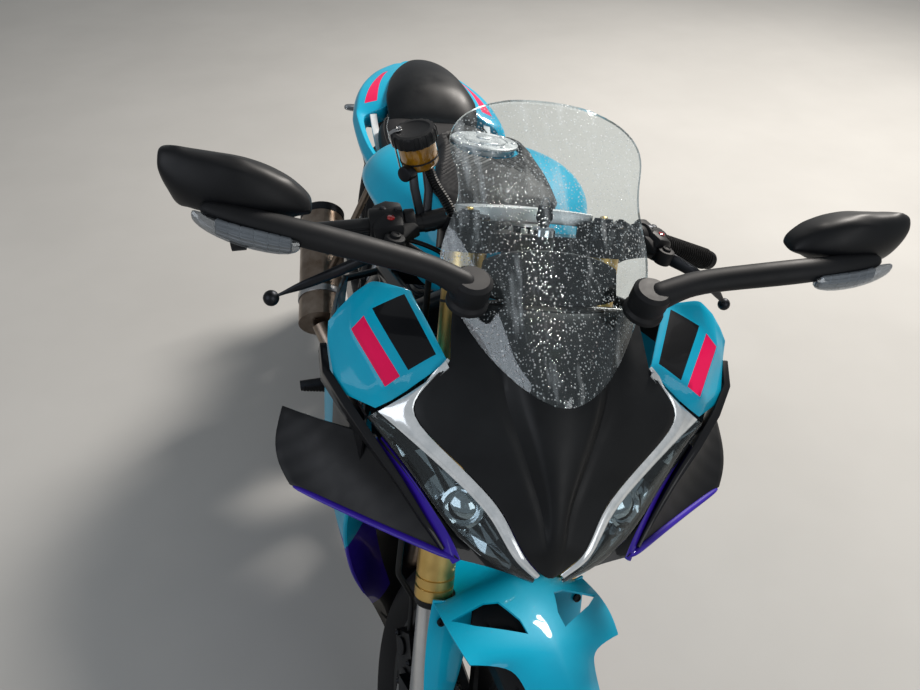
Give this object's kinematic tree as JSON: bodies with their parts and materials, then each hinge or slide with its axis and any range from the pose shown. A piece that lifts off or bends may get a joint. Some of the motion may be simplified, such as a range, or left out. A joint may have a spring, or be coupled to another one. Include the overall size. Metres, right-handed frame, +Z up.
{
  "type": "sport bike",
  "caption": "Faired sport bike leaning on its side stand, with turning wheels, steering that swings between its stops and a stand that folds away.",
  "frame": {"origin": "on the floor under the middle of the parked bike's bounding box", "axes": "+Z up, -Y towards the front of the bike, +X to its left, the side that it leans to; the bike leans on its side stand"},
  "size_m": [0.8434, 1.9714, 1.1531],
  "materials": {
    "tyre": "matt rubber",
    "rim": "satin black",
    "steel": "brushed",
    "gold": "gold anodised",
    "chrome": "polished",
    "alloy": "satin",
    "dark_alloy": "satin black",
    "black_plastic": "textured",
    "satin_black": "satin",
    "cyan": "gloss",
    "screen": "clear",
    "lens": "clear",
    "mirror": "polished",
    "rubber": "matt",
    "seat": "matt",
    "red_lens": "clear",
    "engine_cast": "cast"
  },
  "bodies": {
    "chassis": {"belly_pan": "satin_black", "bobbin_bosses": "dark_alloy", "chain": "steel", "cockpit_tray": "black_plastic", "display": "black_plastic", "engine": "engine_cast", "exhaust": "steel", "flashers": "lens", "footrests": "dark_alloy", "frame": "dark_alloy", "fuel_cap": "alloy", "fuel_tank": "cyan", "head_tube": "dark_alloy", "headlights": "lens", "mirror_glasses": "mirror", "mirrors": "satin_black", "nose_cowl": "satin_black", "plate_holder": "black_plastic", "radiator": "dark_alloy", "rear_axles": "steel", "rear_caliper": "dark_alloy", "rear_shock": "steel", "rider_seat": "seat", "seat_hump": "satin_black", "side_fairings": "cyan", "swingarm": "dark_alloy", "tail_fairing": "cyan", "tail_lamp": "red_lens", "tank_cover": "black_plastic", "upper_panels": "cyan", "windscreen": "screen", "winglets": "satin_black"},
    "steering": {"fork_outer_tubes": "gold", "fork_inner_tubes": "chrome", "fork_feet": "dark_alloy", "front_axle": "steel", "upper_yoke": "alloy", "lower_yoke": "dark_alloy", "handlebars": "dark_alloy", "grips": "rubber", "switch_housings": "black_plastic", "levers": "dark_alloy", "brake_reservoir": "black_plastic", "front_caliper": "dark_alloy", "brake_hose": "rubber", "front_fender": "cyan"},
    "front_wheel": {"front_tyre": "tyre", "front_rim": "rim", "front_disc": "steel"},
    "rear_wheel": {"rear_tyre": "tyre", "rear_rim": "rim", "rear_disc": "steel", "rear_sprocket": "steel"},
    "side_stand": {"side_stand": "dark_alloy"}
  },
  "joints": [
    {"name": "steering_turn", "type": "hinge", "parent": "chassis", "child": "steering", "pos_m": [-0.01986, -0.36093, 0.95149], "axis": [0.1518, 0.4126, 0.8982], "range_deg": [-38, 10]},
    {"name": "front_wheel_spin", "type": "hinge", "parent": "steering", "child": "front_wheel", "pos_m": [-0.12428, -0.70178, 0.28513], "axis": [0.94, 0.2208, -0.2602], "continuous": true},
    {"name": "rear_wheel_spin", "type": "hinge", "parent": "chassis", "child": "rear_wheel", "pos_m": [-0.12997, 0.66728, 0.30295], "axis": [0.986, 0.0004, -0.1668], "continuous": true},
    {"name": "side_stand_fold", "type": "hinge", "parent": "chassis", "child": "side_stand", "pos_m": [-0.02687, -0.01257, 0.23927], "axis": [0.9183, -0.1981, 0.3427], "range_deg": [0, 98]}
  ]
}
